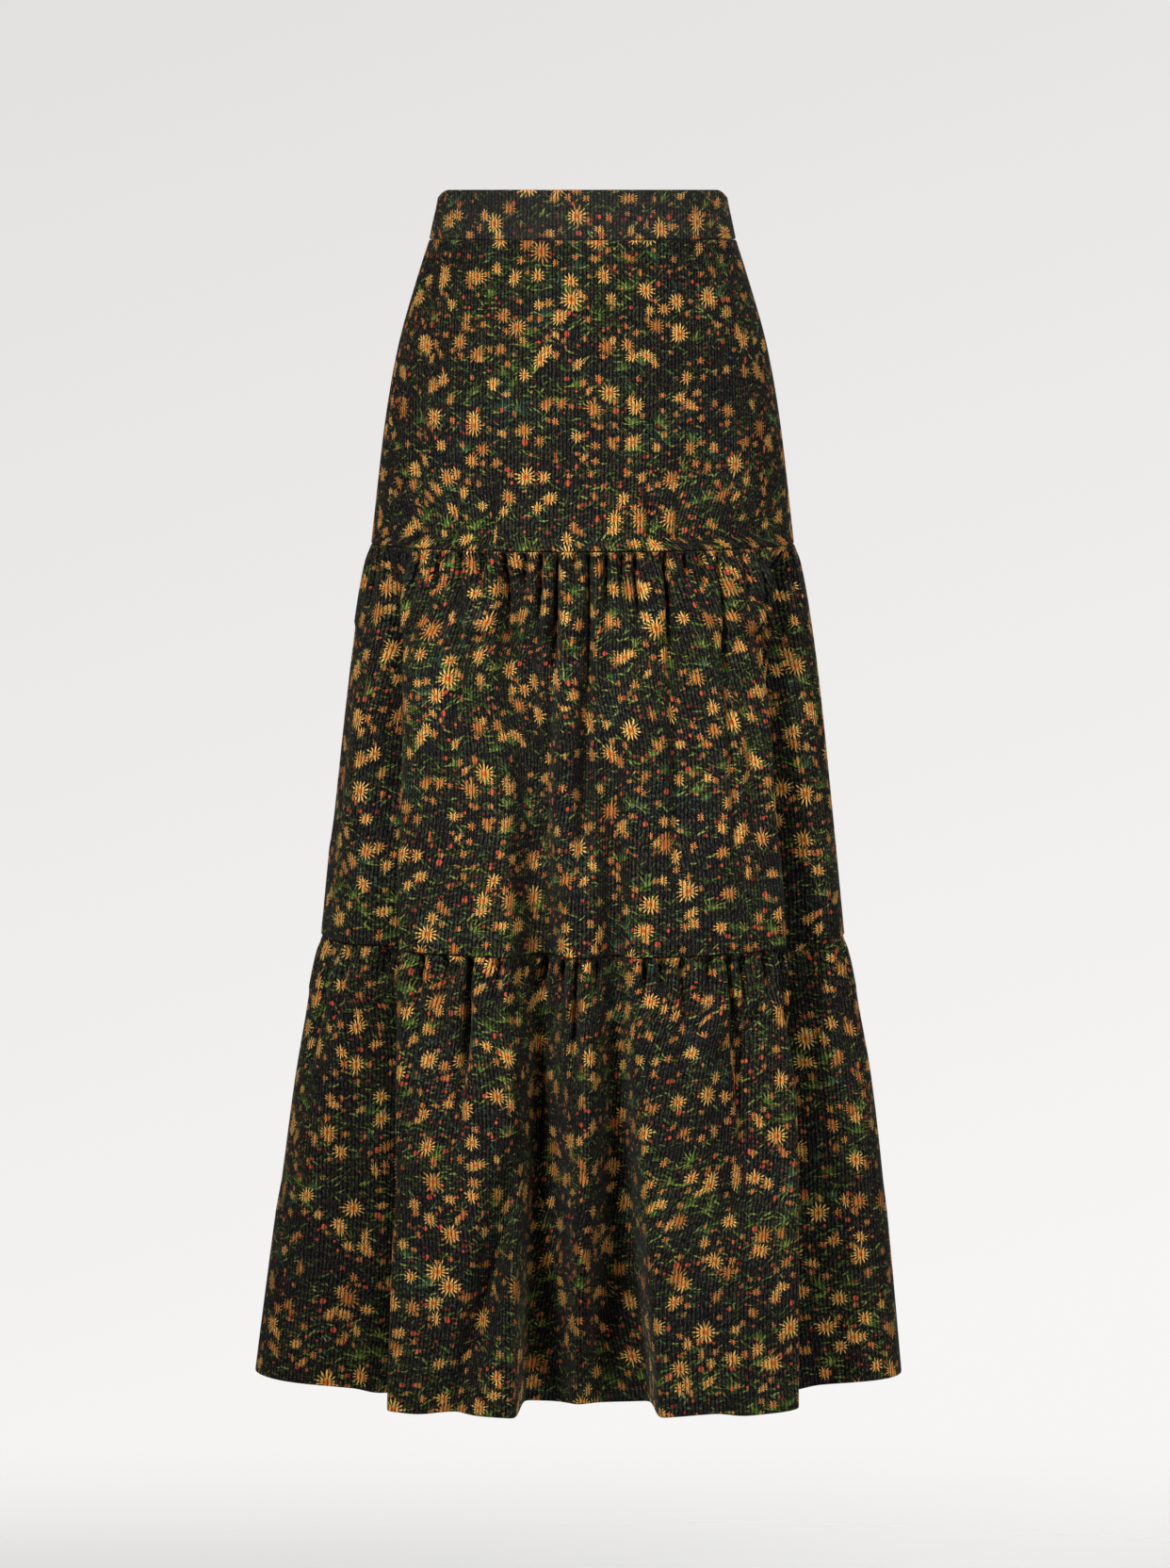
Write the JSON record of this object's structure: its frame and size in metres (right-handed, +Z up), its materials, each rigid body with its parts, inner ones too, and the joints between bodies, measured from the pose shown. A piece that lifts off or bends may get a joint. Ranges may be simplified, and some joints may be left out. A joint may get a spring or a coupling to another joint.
{
  "type": "maxi skirt",
  "caption": "Tiered maxi skirt in printed corduroy, with a fitted yoke and gathered tiers, filled out and hanging from its waist.",
  "frame": {"origin": "centre of the waist opening, half way up the waistband, where the wearer's waist holds the skirt", "axes": "+Z up, the front of the skirt faces -Y, +X is to the right as the front is looked at"},
  "size_m": [0.5392, 0.3894, 0.995],
  "materials": {
    "printed_corduroy": "fine vertical corduroy with a soft matt pile, near-black ground with scattered small yellow-orange daisies, red buds and green grass"
  },
  "bodies": {
    "root": {"waistband_front": "printed_corduroy", "waistband_back": "printed_corduroy", "yoke_front": "printed_corduroy", "yoke_back": "printed_corduroy", "middle_tier_front": "printed_corduroy", "middle_tier_back": "printed_corduroy", "bottom_tier_front": "printed_corduroy", "bottom_tier_back": "printed_corduroy"}
  },
  "joints": []
}
